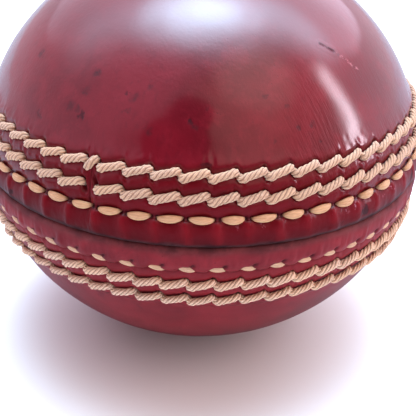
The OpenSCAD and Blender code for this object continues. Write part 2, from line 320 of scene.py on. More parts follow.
def quarter(name, node, lower, az_mid):
    """One leather quarter as a closed shell: joint face, lip, band, dome to the pole, and the inside."""
    keyA, keyB = (LO_A, LO_B) if lower else (UP_A, UP_B)
    inset = math.degrees(0.003 / 36)
    fine = columns(az_mid - 90 + inset, az_mid + 90 - inset, 0.37, 0.13)
    n = len(fine) - 1
    mid, coarse = fine[::2], fine[::4]
    s_end = keyA[-1][1]
    t_key = np.concatenate([[0, 0.5, 1.0], np.linspace(1.35, len(keyA) - 1, 40)])
    A, B = catmull(keyA, t_key), catmull(keyB, t_key)
    s_band = np.concatenate([np.arange(s_end + 0.2, 12.2, 0.215)])
    a_band = lean_at(s_band)
    # outline rows of the dome, closer together near the pole
    a_top = np.linspace(a_band[-1], math.pi / 2, 50)[1:-1]
    rows = []                       # each: (azimuths, points (k,3), s (k,), outer?)
    def ring(azs, r, z):
        a = np.radians(azs)
        return np.stack([r * np.cos(a), r * np.sin(a), np.broadcast_to(z, np.shape(r)) + 0 * r], -1)
    phase = PHASE_CL + (PITCH_CL * SHIFT_CL if lower else 0)
    # inner edge of the joint face
    for r0 in (HALF_W - LEATHER_T, HALF_W - LEATHER_T + 0.9):
        rows.append((coarse, ring(coarse, np.full(len(coarse), r0), 0.03), np.full(len(coarse), 0.03), False))
    k_wave = wrap((fine - phase) / PITCH_CL, 1.0)
    tug = 0.10 * np.sin(fine * 0.83 + 1.3) + 0.08 * np.sin(fine * 2.17 + 0.4)    # no two stitches pull quite alike
    w = sstep(0.06 + 0.10 * tug, 0.42 + 0.14 * tug, np.abs(k_wave + 0.03)) if lower else sstep(0.16 + 0.08 * tug, 0.44 + 0.10 * tug, np.abs(k_wave))
    wob = 1 + 0.10 * np.sin(fine * 0.9 + 1.3) * np.sin(fine * 0.37)
    for i in range(len(t_key)):
        d = A[i, 0] * (1 - w) + B[i, 0] * w * wob if A[i, 1] > 1.5 else A[i, 0] * (1 - w) + B[i, 0] * w
        z = A[i, 1] * (1 - w) + B[i, 1] * w
        rr, zz = on_cup(lean_at(z), d)
        a = np.radians(fine)
        rows.append((fine, np.stack([rr * np.cos(a), rr * np.sin(a), zz], -1), z, True))
    for s, al in zip(s_band, a_band):
        rr, zz = on_cup(al, BAND_RISE)
        rows.append((fine, ring(fine, np.full(len(fine), rr), zz), np.full(len(fine), s), True))
    for i, al in enumerate(a_top):
        azs = mid if i == 0 else coarse
        rr, zz = on_cup(al, BAND_RISE)
        rows.append((azs, ring(azs, np.full(len(azs), rr), zz), np.full(len(azs), zz), True))
    # normals of the outer rows by differences
    pts_all, az_all, s_all, nrm_all, outer = [], [], [], [], []
    for i, (azs, P, s, o) in enumerate(rows):
        if o:
            def near(j):
                azj, Pj = rows[j][0], rows[j][1]
                if len(azj) == len(azs):
                    return Pj
                return np.stack([np.interp(azs, azj, Pj[:, c]) for c in range(3)], -1)
            up = near(i + 1) if i + 1 < len(rows) else P
            dn = near(i - 1) if rows[i - 1][3] else P
            du = up - dn
            dv = np.gradient(P, axis=0)
            nn = np.cross(dv, du)
            nn /= np.maximum(np.linalg.norm(nn, axis=1, keepdims=True), 1e-9)
            nrm_all.append(nn)
        else:
            nrm_all.append(np.zeros_like(P))
    co, recess_shade, joint, lipm, foldm, index = [], [], [], [], [], []
    base = 0
    seam_c = np.array([math.cos(math.radians(az_mid)), math.sin(math.radians(az_mid)), 0])
    outer_no = -1
    for (azs, P, s, o), nn in zip(rows, nrm_all):
        if o:
            outer_no += 1
            fade_i = float(sstep(1.0, 5.0, t_key[outer_no])) if outer_no < len(t_key) else 1.0
            q = P * np.array([1, 1, -1.0]) if lower else P
            az_true = azs
            h, di, jo, li, fo = leather_height(az_true, s, lower, q)
            # crease along the quarter seam
            dist = P @ seam_c
            wid = 0.16
            crease = np.exp(-(dist / wid) ** 2)
            inband = sstep(3.2, 4.4, s) * (1 - sstep(9.6, 11.0, s))
            deep = 0.20 * inband
            h = h - deep * crease - 0.18 * inband * np.exp(-(dist / 0.60) ** 2)
            # painted shade in the seam crease
            di = np.maximum(di, crease * 0.66 * inband)
            P = P + nn * (h * fade_i)[:, None]
            # the cut edge stays in its own plane
            for e in (0, -1):
                a = math.radians(azs[e])
                rr = math.hypot(P[e, 0], P[e, 1])
                P[e, 0], P[e, 1] = rr * math.cos(a), rr * math.sin(a)
        else:
            di, jo, li, fo = np.full(len(azs), 0.3), np.full(len(azs), 1.0), np.zeros(len(azs)), np.zeros(len(azs))
        co.append(P); recess_shade.append(di); joint.append(jo); lipm.append(li); foldm.append(fo)
        index.append(base + np.arange(len(azs)))
        base += len(azs)
    # pole, outside
    pole_r, pole_z = on_cup(math.pi / 2, BAND_RISE)
    drop = -0.035 + float(leather_height(np.array([0.0]), np.array([HALF_H]), lower, np.array([[0, 0, -HALF_H if lower else HALF_H]]))[0][0])
    co.append(np.array([[seam_c[0] * 0.01, seam_c[1] * 0.01, pole_z + drop]]))
    recess_shade.append(np.array([0.2])); joint.append(np.zeros(1)); lipm.append(np.zeros(1)); foldm.append(np.zeros(1))
    pole_out = base; base += 1
    # inside
    inner = []
    for al in np.linspace(math.pi / 2, 0.0, 26)[1:-1]:
        rr, zz = on_cup(al, -LEATHER_T)
        inner.append((coarse, ring(coarse, np.full(len(coarse), rr), max(float(zz), 0.06))))
    co.append(np.array([[seam_c[0] * 0.01, seam_c[1] * 0.01, HALF_H - LEATHER_T]]))
    recess_shade.append(np.array([0.0])); joint.append(np.zeros(1)); lipm.append(np.zeros(1)); foldm.append(np.zeros(1))
    pole_in = base; base += 1
    inner_index = []
    for azs, P in inner:
        co.append(P)
        for lst in (recess_shade, joint, lipm, foldm):
            lst.append(np.zeros(len(azs)))
        inner_index.append(base + np.arange(len(azs)))
        base += len(azs)
    quads, tris = [], []
    def bridge(a, b):
        if len(a) == len(b):
            quads.append(np.stack([a[:-1], a[1:], b[1:], b[:-1]], 1))
        elif len(a) > len(b):                 # a is twice as fine as b
            f0, f1, f2 = a[0:-2:2], a[1:-1:2], a[2::2]
            tris.append(np.stack([f0, f1, b[:-1]], 1))
            tris.append(np.stack([f1, b[1:], b[:-1]], 1))
            tris.append(np.stack([f1, f2, b[1:]], 1))
        else:
            f0, f1, f2 = b[0:-2:2], b[1:-1:2], b[2::2]
            tris.append(np.stack([a[:-1], f1, f0], 1))
            tris.append(np.stack([a[:-1], a[1:], f1], 1))
            tris.append(np.stack([a[1:], f2, f1], 1))
    def bridge4(a, b):
        """a coarse, b four times as fine."""
        for k in range(4):
            lo, hi = b[k:-1:4], b[k + 1::4]
            apex = a[:-1] if k < 2 else a[1:]
            tris.append(np.stack([apex, hi, lo], 1))
        tris.append(np.stack([a[:-1], a[1:], b[2::4]], 1))
    for i in range(len(index) - 1):
        a, b = index[i], index[i + 1]
        if len(b) > 3 * len(a):
            bridge4(a, b)
        else:
            bridge(a, b)
    last = index[-1]
    tris.append(np.stack([last[:-1], last[1:], np.full(len(last) - 1, pole_out)], 1))
    first = inner_index[0]
    tris.append(np.stack([first[1:], first[:-1], np.full(len(first) - 1, pole_in)], 1))
    for a, b in zip(inner_index[:-1], inner_index[1:]):
        quads.append(np.stack([a[:-1], a[1:], b[1:], b[:-1]], 1))
    a, b = inner_index[-1], index[0]
    quads.append(np.stack([a[:-1], a[1:], b[1:], b[:-1]], 1))
    # the two cut faces, from the loop of edge points
    co = np.concatenate(co)
    extra_from = []
    def cut_face(e, flip):
        outer_loop = [int(ix[e]) for ix in index] + [pole_out]
        inner_loop = [pole_in] + [int(ix[e]) for ix in inner_index]
        inner_loop = inner_loop[::-1]           # from the joint up to the pole
        own = {}
        for i in outer_loop + inner_loop:       # its own points, so that the rounded faces keep their shading
            own[i] = len(co) + len(extra_from)
            extra_from.append(i)
        # walk both from the joint to the pole and join the nearer next point each time
        i = j = 0
        a_l, b_l = outer_loop, inner_loop
        out = []
        while i < len(a_l) - 1 or j < len(b_l) - 1:
            step_a = i < len(a_l) - 1 and (j == len(b_l) - 1 or
                np.linalg.norm(co[a_l[i + 1]] - co[b_l[j]]) <= np.linalg.norm(co[b_l[j + 1]] - co[a_l[i]]))
            if step_a:
                out.append((own[a_l[i]], own[a_l[i + 1]], own[b_l[j]])); i += 1
            else:
                out.append((own[a_l[i]], own[b_l[j + 1]], own[b_l[j]])); j += 1
        out = np.array(out, np.int32)
        if not flip:
            out = out[:, ::-1]
        return out
    tris.append(cut_face(0, True))
    tris.append(cut_face(-1, False))
    n_cut = len(tris[-1]) + len(tris[-2])
    quads, tris = np.concatenate(quads), np.concatenate(tris)
    ext = np.array(extra_from)
    recess_shade, joint, lipm, foldm = (np.concatenate(v) for v in (recess_shade, joint, lipm, foldm))
    co = np.concatenate([co, co[ext]])
    recess_shade, joint, lipm, foldm = (np.concatenate([v, v[ext]]) for v in (recess_shade, joint, lipm, foldm))
    if lower:
        co = co * np.array([1, 1, -1.0])
        quads, tris = quads[:, ::-1], tris[:, ::-1]
    ob = make_mesh(name, co, quads, tris, {"recess_shade": recess_shade, "joint": joint, "lip": lipm, "fold": foldm}, flat_last=n_cut)
    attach(ob, "root")
    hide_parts(node)
    return ob

# ---------------------------------------------------------------- twisted cord
def sweep(path, n_along, n_around, section, place, seam_angle=math.pi, twist=0.0):
    """A tube along a local path. section(q, theta) gives (across, out) offsets; place maps local (along, up, out) points to the ball.
    Returns points, quads, tris, q and theta per point."""
    path = np.asarray(path, float)
    dense = catmull(path, np.linspace(0, len(path) - 1, 240))
    seg = np.linalg.norm(np.diff(dense, axis=0), axis=1)
    arc = np.concatenate([[0], np.cumsum(seg)])
    at = np.linspace(0, arc[-1], n_along)
    mid = np.stack([np.interp(at, arc, dense[:, c]) for c in range(3)], 1)
    tan = np.gradient(mid, axis=0)
    tan /= np.linalg.norm(tan, axis=1, keepdims=True)
    # "up" direction kept close to +v, so the strands turn evenly
    side = np.array([0, 1.0, 0]) - (tan @ np.array([0, 1.0, 0]))[:, None] * tan
    side /= np.linalg.norm(side, axis=1, keepdims=True)
    out = np.cross(side, tan) * -1.0
    out = np.cross(tan, side)
    theta = seam_angle + np.linspace(0, 2 * np.pi, n_around, endpoint=False)
    T, Q = np.meshgrid(theta, at)
    T = T + twist * Q                                # the grid runs with the strands
    cs, rad = section(Q, T, arc[-1])
    P = mid[:, None, :] + side[:, None, :] * (np.sin(T) * cs)[..., None] + out[:, None, :] * (np.cos(T) * rad)[..., None]
    pts = place(P.reshape(-1, 3))
    idx = np.arange(n_along * n_around).reshape(n_along, n_around)
    a = idx[:-1]; b = idx[1:]
    quads = np.stack([a, b, np.roll(b, -1, 1), np.roll(a, -1, 1)], -1).reshape(-1, 4)
    ends = place(np.stack([mid[0], mid[-1]]))
    c0, c1 = len(pts), len(pts) + 1
    tris = [np.stack([np.full(n_around, c0), idx[0], np.roll(idx[0], -1)], 1),
            np.stack([np.full(n_around, c1), np.roll(idx[-1], -1), idx[-1]], 1)]
    pts = np.vstack([pts, ends])
    q = np.concatenate([Q.ravel(), [0, arc[-1]]])
    th = np.concatenate([T.ravel(), [0, 0]])
    return pts, quads, np.concatenate(tris), q, th, arc[-1]

def placer(az, zr, r_row, lower):
    """Maps (along, up, out) in mm to the ball: up is +Z on both cups, out stands on the band."""
    def place(P):
        z = zr * (-1 if lower else 1) + P[:, 1]
        rr, zz = on_cup(lean_at(np.abs(z)), BAND_RISE + P[:, 2])
        zz = np.where(z < 0, -zz, zz)
        a = math.radians(az) + P[:, 0] / r_row
        return np.stack([rr * np.cos(a), rr * np.sin(a), zz], 1)
    return place

def rand(k, seed):
    return float(_hash(np.array([k]), np.array([seed * 7 + 1]), np.array([3]), seed)[0])

def cord_row(name, node, row):
    lower = row.startswith("lo")
    outer = row.endswith("out")
    zr, r_row = (Z_OUT, R_OUT) if outer else (Z_IN, R_IN)
    seed = {"up_out": 1, "up_in": 2, "lo_in": 3, "lo_out": 4}[row]
    P_all, Q_all, T_all, lay_all, fib_all, end_all = [], [], [], [], [], []
    base = 0
    for k, (az, h, kind) in enumerate(stitch_plan(row)):
        path = np.array(cord_path(h, LEAN, kind), float)
        path[1:-1, 1] += 0.05 * rand(k, seed + 10)
        path[2:-2, 2] += 0.05 * rand(k, seed + 20)
        path[:, 0] += 0.05 * rand(k, seed + 30)
        fat = 1 + 0.045 * rand(k, seed + 40)
        lay = 3.75 * (1 + 0.07 * rand(k, seed + 50))
        turn = rand(k, seed + 60) * math.pi
        strands = 5
        R0 = {"up_out": 0.535, "up_in": 0.575, "lo_in": 0.56, "lo_out": 0.515}[row] * fat
        deep = 0.56 if lower else 0.52        # how round each strand is
        def section(Q, T, L, R0=R0, lay=lay, turn=turn, deep=deep):
            q = Q / L
            r = R0 * (1.0 + 0.07 * np.exp(-((q - 0.27) / 0.13) ** 2) - 0.24 * sstep(0.80, 0.94, q) - 0.22 * sstep(0.17, 0.05, q))
            ph = T - 2 * np.pi * Q / lay - turn
            f = wrap(ph, 2 * np.pi / strands)
            c, rho = R0 * deep, R0 * (1 - deep)
            lobe = (c * np.cos(f) + np.sqrt(np.maximum(rho * rho - (c * np.sin(f)) ** 2, 0))) / R0
            return r * lobe, r * lobe * 0.97
        na = 22 if kind == "short" else 38
        pts, quads, tris, q, th, L = sweep(path, na, 35, section, placer(az, zr, r_row, lower),
                                           seam_angle=turn + math.pi / strands, twist=2 * math.pi / lay)
        f = wrap(th - 2 * np.pi * q / lay - turn, 2 * np.pi / strands)
        lay_all.append(np.abs(f) / (math.pi / strands))
        fib_all.append(np.stack([(th - 2 * np.pi * q / lay) * R0 + 3.1 * k, q + 0.35 * th, np.full(len(q), seed * 5.0)], 1))
        end_all.append(np.maximum(sstep(0.19, 0.09, q / L), sstep(0.82, 0.92, q / L)))
        P_all.append(pts); Q_all.append(quads + base); T_all.append(tris + base)
        base += len(pts)
    ob = make_mesh(name, np.concatenate(P_all), np.concatenate(Q_all), np.concatenate(T_all),
                   {"lay": np.concatenate(lay_all), "tuck": np.concatenate(end_all)}, vec_attrs={"fibre": np.concatenate(fib_all)})
    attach(ob, "root"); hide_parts(node)
    return ob

def closing_row(name, node, lower):
    phase = PHASE_CL + (PITCH_CL * SHIFT_CL if lower else 0)
    zr = Z_CL
    seed = 8 if lower else 7
    P_all, Q_all, T_all, fib_all, end_all, lay_all = [], [], [], [], [], []
    base = 0
    for k in range(N_CL):
        az = phase + PITCH_CL * k
        L2 = (1.58 if lower else 1.69) * (1 + 0.075 * rand(k, seed + 10))
        out = (-0.22 if lower else 0.05) + 0.04 * rand(k, seed + 20)
        tilt = (-0.20 if lower else 0.05) + 0.10 * rand(k, seed + 30)
        drop = -0.16 if lower else 0.0
        path = [(-L2 + 0.08, -tilt + drop, out - 1.05), (-L2 + 0.06, -tilt + drop, out - 0.62), (-L2 + 0.30, -tilt * 0.9 + drop, out - 0.20),
                (-L2 * 0.45, -tilt * 0.45 + drop, out + 0.06), (0, drop, out + 0.12), (L2 * 0.45, tilt * 0.45 + drop, out + 0.06),
                (L2 - 0.30, tilt * 0.9 + drop, out - 0.20), (L2 - 0.06, tilt + drop, out - 0.62), (L2 - 0.08, tilt + drop, out - 1.05)]
        wide = (0.56 if lower else 0.59) * (1 + 0.07 * rand(k, seed + 40))
        turn = rand(k, seed + 50) * 3
        def section(Q, T, L, wide=wide, turn=turn):
            q = Q / L
            m = np.sin(np.pi * np.clip((q - 0.12) / 0.76, 0, 1)) ** 0.80
            w = 0.15 + (wide - 0.15) * m
            t = 0.15 + 0.19 * m
            ridge = 1 + 0.020 * np.cos(9 * T + turn + 1.1 * Q) + 0.016 * np.cos(14 * T - 0.7 * Q + turn)
            return w * ridge, t * ridge
        pts, quads, tris, q, th, L = sweep(path, 28, 28, section, placer(az, zr, R_CL, lower))
        fib_all.append(np.stack([th * 0.7 + 2.7 * k, q * 0.35 + 1.3 * k, np.full(len(q), seed * 5.0)], 1))
        end_all.append(np.maximum(sstep(0.24, 0.12, q / L), sstep(0.76, 0.88, q / L)))
        lay_all.append(0.5 + 0.5 * np.cos(9 * th + turn + 1.1 * q))
        P_all.append(pts); Q_all.append(quads + base); T_all.append(tris + base)
        base += len(pts)
    ob = make_mesh(name, np.concatenate(P_all), np.concatenate(Q_all), np.concatenate(T_all),
                   {"lay": np.concatenate(lay_all), "tuck": np.concatenate(end_all)}, vec_attrs={"fibre": np.concatenate(fib_all)})
    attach(ob, "root"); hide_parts(node)
    return ob

# ---------------------------------------------------------------- node material helper
class Mat:
    def __init__(self, name):
        self.m = bpy.data.materials.new(name)
        self.m.use_nodes = True
        self.nt = self.m.node_tree
        self.bsdf = next(n for n in self.nt.nodes if n.type == "BSDF_PRINCIPLED")
    def node(self, kind, **props):
        n = self.nt.nodes.new("ShaderNode" + kind)
        for k, v in props.items():
            setattr(n, k, v)
        return n
    def link(self, out, inp):
        self.nt.links.new(out, inp)
    def put(self, inp, v):
        if hasattr(v, "is_linked") or isinstance(v, bpy.types.NodeSocket):
            self.link(v, inp)
        else:
            inp.default_value = v
    def math(self, op, a, b=0.0, clamp=False):
        n = self.node("Math", operation=op, use_clamp=clamp)
        self.put(n.inputs[0], a); self.put(n.inputs[1], b)
        return n.outputs[0]
    def mul(self, a, b): return self.math("MULTIPLY", a, b)
    def add(self, a, b): return self.math("ADD", a, b)
    def sub(self, a, b): return self.math("SUBTRACT", a, b)
    def ramp(self, v, a, b, lo=0.0, hi=1.0):
        n = self.node("MapRange", interpolation_type="SMOOTHSTEP")
        self.put(n.inputs["Value"], v)
        n.inputs["From Min"].default_value = a; n.inputs["From Max"].default_value = b
        n.inputs["To Min"].default_value = lo; n.inputs["To Max"].default_value = hi
        return n.outputs["Result"]
    def mix(self, f, a, b, blend="MIX"):
        n = self.node("Mix", data_type="RGBA", blend_type=blend)
        self.put(n.inputs[0], f)
        self.put(n.inputs[6], a if not isinstance(a, tuple) else (*a, 1.0))
        self.put(n.inputs[7], b if not isinstance(b, tuple) else (*b, 1.0))
        return n.outputs[2]
    def coords(self, scale=(1, 1, 1), rot=(0, 0, 0), loc=(0, 0, 0)):
        t = self.node("TexCoord")
        mp = self.node("Mapping")
        mp.inputs["Scale"].default_value = scale
        mp.inputs["Rotation"].default_value = rot
        mp.inputs["Location"].default_value = loc
        self.link(t.outputs["Object"], mp.inputs["Vector"])
        return mp.outputs["Vector"]
    def noise(self, vec, scale, detail=3.0, rough=0.5, dist=0.0):
        n = self.node("TexNoise")
        self.link(vec, n.inputs["Vector"])
        n.inputs["Scale"].default_value = scale
        n.inputs["Detail"].default_value = detail
        n.inputs["Roughness"].default_value = rough
        n.inputs["Distortion"].default_value = dist
        return n.outputs["Fac"]
    def voronoi(self, vec, scale, feature="F1", rnd=1.0):
        n = self.node("TexVoronoi", feature=feature)
        self.link(vec, n.inputs["Vector"])
        n.inputs["Scale"].default_value = scale
        n.inputs["Randomness"].default_value = rnd
        return n
    def attr(self, name, out="Fac"):
        n = self.node("Attribute", attribute_name=name)
        return n.outputs[out]
    def bump(self, height, distance=0.001, strength=1.0, normal=None):
        n = self.node("Bump")
        self.link(height, n.inputs["Height"])
        n.inputs["Distance"].default_value = distance
        n.inputs["Strength"].default_value = strength
        if normal is not None:
            self.link(normal, n.inputs["Normal"])
        return n.outputs["Normal"]
    def sets(self, **kw):
        for k, v in kw.items():
            self.bsdf.inputs[k.replace("_", " ")].default_value = v

def rgb(r, g, b):
    """sRGB bytes to linear."""
    f = lambda c: c / 12.92 if c <= 0.04045 else ((c + 0.055) / 1.055) ** 2.4
    return (f(r / 255), f(g / 255), f(b / 255))

# dark marks on the dome: azimuth, height, radius in mm
MARKS = [(-95.2, 19.8, 0.55), (-96.2, 17.7, 0.60), (-99.7, 15.6, 0.70), (-97.0, 15.5, 0.45), (-78.8, 19.4, 0.45), (-82.3, 17.8, 0.60),
         (-83.7, 16.4, 0.40), (-77.5, 14.5, 0.45), (-108.8, 13.2, 0.50), (-119.0, 19.7, 0.55), (-48.6, 18.5, 0.40), (-64.1, 17.3, 0.35),
         (-66.6, 15.2, 0.45), (-41.4, 14.7, 0.40), (-37.2, 14.8, 0.45), (-47.7, 13.6, 0.40), (-43.8, 17.2, 0.40)]

def leather_material(name, lower):
    M = Mat(name)
    obj = M.coords()
    big = M.noise(obj, 75, 3, 0.55)                                  # patches about 13 mm across
    midn = M.noise(obj, 330, 4, 0.6, 0.4)                            # mottling about 3 mm across
    tilt = M.coords(scale=(1.0, 1.0, 0.16), rot=(0.0, 0.35, 0.5))
    streak = M.noise(tilt, 900, 3, 0.6, 0.25)                        # grain drawn out from the pole to the seam
    fine = M.noise(obj, 2300, 3, 0.6)
    # the lower cup's leather colours, here and in the joint and band mixes below, are painted lighter, standing in for
    # fill light from the floor
    red_a = (0.142, 0.0034, 0.0088) if not lower else (0.225, 0.0150, 0.0210)
    red_b = (0.094, 0.0023, 0.0061) if not lower else (0.160, 0.0120, 0.0170)
    red_c = (0.180, 0.0060, 0.0130) if not lower else (0.275, 0.0220, 0.0290)
    col = M.mix(M.ramp(big, 0.36, 0.64), red_b, red_a)
    col = M.mix(M.mul(M.ramp(midn, 0.46, 0.72), 0.55), col, red_c)
    col = M.mix(M.mul(M.ramp(streak, 0.50, 0.70), 0.42), col, red_b)
    col = M.mix(M.mul(M.ramp(fine, 0.52, 0.75), 0.20), col, red_c)
    # lips take more lacquer and stay a clear crimson
    lip = M.attr("lip")
    if not lower:
        col = M.mix(M.mul(lip, 0.60), col, (0.142, 0.0010, 0.0033))
        fold = M.attr("fold")
        # painted shade on the lip between its folds
        col = M.mix(M.mul(M.math("MULTIPLY", M.sub(lip, fold), 0.28, clamp=True), 1.0), col, (0.090, 0.0012, 0.0034))
        # painted light on the folds of the lip
        col = M.mix(M.mul(fold, M.ramp(midn, 0.40, 0.62, 0.20, 0.50)), col, (0.230, 0.0020, 0.0062))
        low = M.node("SeparateXYZ"); M.link(obj, low.inputs[0])
        # painted shade: the upper lip darker towards its underside at the joint
        lip_underside_shade = M.math("MULTIPLY", M.ramp(low.outputs[2], 0.0026, -0.0004), M.ramp(midn, 0.30, 0.66, 0.80, 0.52))
        col = M.mix(lip_underside_shade, col, (0.062, 0.0012, 0.0030))
    # dark pores and specks, few and uneven, pulled out of round
    warp = M.node("TexNoise"); M.link(obj, warp.inputs["Vector"]); warp.inputs["Scale"].default_value = 900; warp.inputs["Detail"].default_value = 2
    wsub = M.node("VectorMath", operation="SUBTRACT"); M.link(warp.outputs["Color"], wsub.inputs[0]); wsub.inputs[1].default_value = (0.5, 0.5, 0.5)
    wmul = M.node("VectorMath", operation="SCALE"); M.link(wsub.outputs[0], wmul.inputs[0]); wmul.inputs["Scale"].default_value = 0.0022
    wadd = M.node("VectorMath", operation="ADD"); M.link(M.coords(scale=(1, 1, 0.62)), wadd.inputs[0]); M.link(wmul.outputs[0], wadd.inputs[1])
    vor = M.voronoi(wadd.outputs[0], 330)
    cell = M.node("SeparateColor"); M.link(vor.outputs["Color"], cell.inputs[0])
    rare = M.math("GREATER_THAN", M.add(cell.outputs[0], M.mul(M.sub(big, 0.5), 0.5)), 0.86)
    reach = M.ramp(cell.outputs[1], 0.0, 1.0, 0.05, 0.21)
    speck = M.mul(M.mul(M.ramp(M.sub(vor.outputs["Distance"], reach), 0.10, -0.05), rare), 0.80 if not lower else 0.25)
    if not lower:
        speck = M.mul(speck, M.ramp(low.outputs[2], 0.0205, 0.0175))
    col = M.mix(speck, col, (0.020, 0.006, 0.008))
    gash = None
    if not lower:
        def on_dome(az, z):
            r, zz = on_cup(float(lean_at(z)), BAND_RISE)
            a = math.radians(az)
            return Vector((float(r) * math.cos(a), float(r) * math.sin(a), float(zz))) * MM
        wob = M.node("VectorMath", operation="SCALE"); M.link(wsub.outputs[0], wob.inputs[0]); wob.inputs["Scale"].default_value = 0.0016
        at = M.node("VectorMath", operation="ADD"); M.link(obj, at.inputs[0]); M.link(wob.outputs[0], at.inputs[1])
        spots = None
        for az, z, r in MARKS:
            d = M.node("VectorMath", operation="DISTANCE"); M.link(at.outputs[0], d.inputs[0]); d.inputs[1].default_value = on_dome(az, z)
            one = M.ramp(d.outputs["Value"], r * 1.75 * MM, r * 0.15 * MM)
            spots = one if spots is None else M.math("MAXIMUM", spots, one)
        spots = M.mul(spots, M.ramp(fine, 0.30, 0.60, 0.45, 1.0))
        speck = M.math("MAXIMUM", speck, M.mul(spots, 0.70))
        col = M.mix(M.mul(spots, 0.86), col, (0.030, 0.009, 0.011))
        # a knock in the lacquer: a dark slit with broken flakes after it
        nudge = M.node("VectorMath", operation="SCALE"); M.link(wsub.outputs[0], nudge.inputs[0]); nudge.inputs["Scale"].default_value = 0.0005
        near = M.node("VectorMath", operation="ADD"); M.link(obj, near.inputs[0]); M.link(nudge.outputs[0], near.inputs[1])
        def segment(p, q):
            ab = q - p
            rel = M.node("VectorMath", operation="SUBTRACT"); M.link(near.outputs[0], rel.inputs[0]); rel.inputs[1].default_value = p
            dt = M.node("VectorMath", operation="DOT_PRODUCT"); M.link(rel.outputs[0], dt.inputs[0]); dt.inputs[1].default_value = ab / ab.length_squared
            t = M.math("MULTIPLY", dt.outputs["Value"], 1.0, clamp=True)
            back = M.node("VectorMath", operation="SCALE"); back.inputs[0].default_value = ab; M.link(t, back.inputs["Scale"])
            gap = M.node("VectorMath", operation="DISTANCE"); M.link(rel.outputs[0], gap.inputs[0]); M.link(back.outputs[0], gap.inputs[1])
            return gap.outputs["Value"]
        slit = segment(on_dome(-25.5, 23.0), on_dome(-21.9, 21.95))
        trail = segment(on_dome(-21.6, 21.9), on_dome(-15.8, 19.2))
        gash = M.ramp(slit, 0.00046, 0.00016)
        rim = M.mul(M.ramp(slit, 0.00110, 0.00060), M.sub(1.0, gash))
        broken = M.noise(obj, 1700, 3, 0.6)
        line = M.ramp(trail, 0.00046, 0.00018)
        chips = M.mul(line, M.ramp(broken, 0.50, 0.57))
        col = M.mix(M.mul(chips, 0.42), col, rgb(214, 128, 132))
        col = M.mix(M.mul(M.mul(line, M.ramp(broken, 0.45, 0.38)), 0.80), col, (0.040, 0.003, 0.008))
        col = M.mix(M.mul(gash, 0.92), col, (0.046, 0.0022, 0.0080))
    pore = M.voronoi(obj, 1500)
    porem = M.mul(M.ramp(pore.outputs["Distance"], 0.22, 0.08), M.ramp(midn, 0.52, 0.66))
    col = M.mix(M.mul(porem, 0.45), col, (0.040, 0.003, 0.006))
    # brown polish and dust along the joint; painted shade, black in holes, grooves, the trough and the seam crease
    joint = M.attr("joint")
    recess_shade = M.attr("recess_shade")
    # for the lower cup the brown is painted lighter, standing in for fill light in the shaded joint
    brown = M.mix(M.ramp(M.noise(obj, 420, 4, 0.65), 0.35, 0.65), (0.026, 0.008, 0.009) if not lower else (0.066, 0.018, 0.018), (0.060, 0.019, 0.020) if not lower else (0.150, 0.034, 0.034))
    jm = M.math("MULTIPLY", joint, M.ramp(M.noise(obj, 260, 3), 0.25, 0.55, 0.70, 1.0))
    col = M.mix(jm, col, brown)
    col = M.mix(M.mul(recess_shade, 0.93), col, (0.012, 0.0035, 0.0045))
    # between the rows the lacquer is thin: darker, with a drier face
    zrow = M.node("SeparateXYZ"); M.link(obj, zrow.inputs[0])
    up_z = M.math("ABSOLUTE", zrow.outputs[2])
    band = M.mul(M.ramp(up_z, 0.0036, 0.0046), M.ramp(up_z, 0.0118, 0.0100))
    col = M.mix(M.mul(band, 0.55), col, (0.165, 0.0030, 0.0062) if not lower else (0.225, 0.0100, 0.0145))
    if not lower:
        # painted shade: the upper dome darker towards the pole
        col = M.mix(M.ramp(zrow.outputs[2], 0.0205, 0.0260, 0.0, 0.55), col, (0.085, 0.0026, 0.0070))
    # worn, pale scuffs on the right of the upper lip, where the lacquer has broken
    sep = M.node("SeparateXYZ"); M.link(obj, sep.inputs[0])
    ang = math.radians(CAM_AZ + 36)
    dirv = M.node("VectorMath", operation="DOT_PRODUCT"); M.link(obj, dirv.inputs[0])
    dirv.inputs[1].default_value = (math.cos(ang), math.sin(ang), 0)
    sector = M.ramp(dirv.outputs["Value"], 0.0300, 0.0352)
    flake_n = M.noise(M.coords(scale=(1.0, 1.0, 0.60)), 1050, 5, 0.74, 0.1)
    if not lower:
        high = M.ramp(sep.outputs[2], 0.0016, 0.0031)
        flake = M.mul(M.mul(M.mul(sector, high), lip), M.ramp(flake_n, 0.60, 0.68))
        flake = M.math("MAXIMUM", flake, M.mul(M.mul(lip, M.mul(high, 0.75)), M.ramp(flake_n, 0.70, 0.76)))
    else:
        flake = M.mul(M.ramp(flake_n, 0.72, 0.79), 0.5)
    col = M.mix(M.mul(flake, 0.66), col, rgb(206, 130, 146))
    M.link(col, M.bsdf.inputs["Base Color"])
    rough = M.add(0.38 if not lower else 0.46, M.mul(M.sub(midn, 0.5), 0.22))
    rough = M.add(rough, M.mul(M.ramp(big, 0.3, 0.7), 0.07))
    rough = M.add(rough, M.mul(recess_shade, 0.35))
    rough = M.add(rough, M.mul(band, 0.04))
    rough = M.add(rough, M.mul(jm, 0.30))
    rough = M.add(rough, M.mul(lip, 0.14 if not lower else 0.04))
    rough = M.math("ADD", rough, M.mul(flake, 0.25), clamp=True)
    M.link(rough, M.bsdf.inputs["Roughness"])
    coat = M.math("MULTIPLY", M.sub(1.0, M.math("MAXIMUM", M.math("MAXIMUM", recess_shade, M.mul(band, 0.35)), M.math("MAXIMUM", jm, M.math("MAXIMUM", flake, M.mul(lip, 0.86 if not lower else 0.85))))), 0.90 if not lower else 0.45, clamp=True)
    if gash is not None:
        coat = M.mul(coat, M.sub(1.0, M.math("MAXIMUM", gash, M.mul(speck, 0.7))))
    M.link(coat, M.bsdf.inputs["Coat Weight"])
    M.sets(Coat_Roughness=0.10 if not lower else 0.28, IOR=1.47, Specular_IOR_Level=0.28 if not lower else 0.34, Specular_Tint=(1.0, 0.34, 0.42, 1.0))
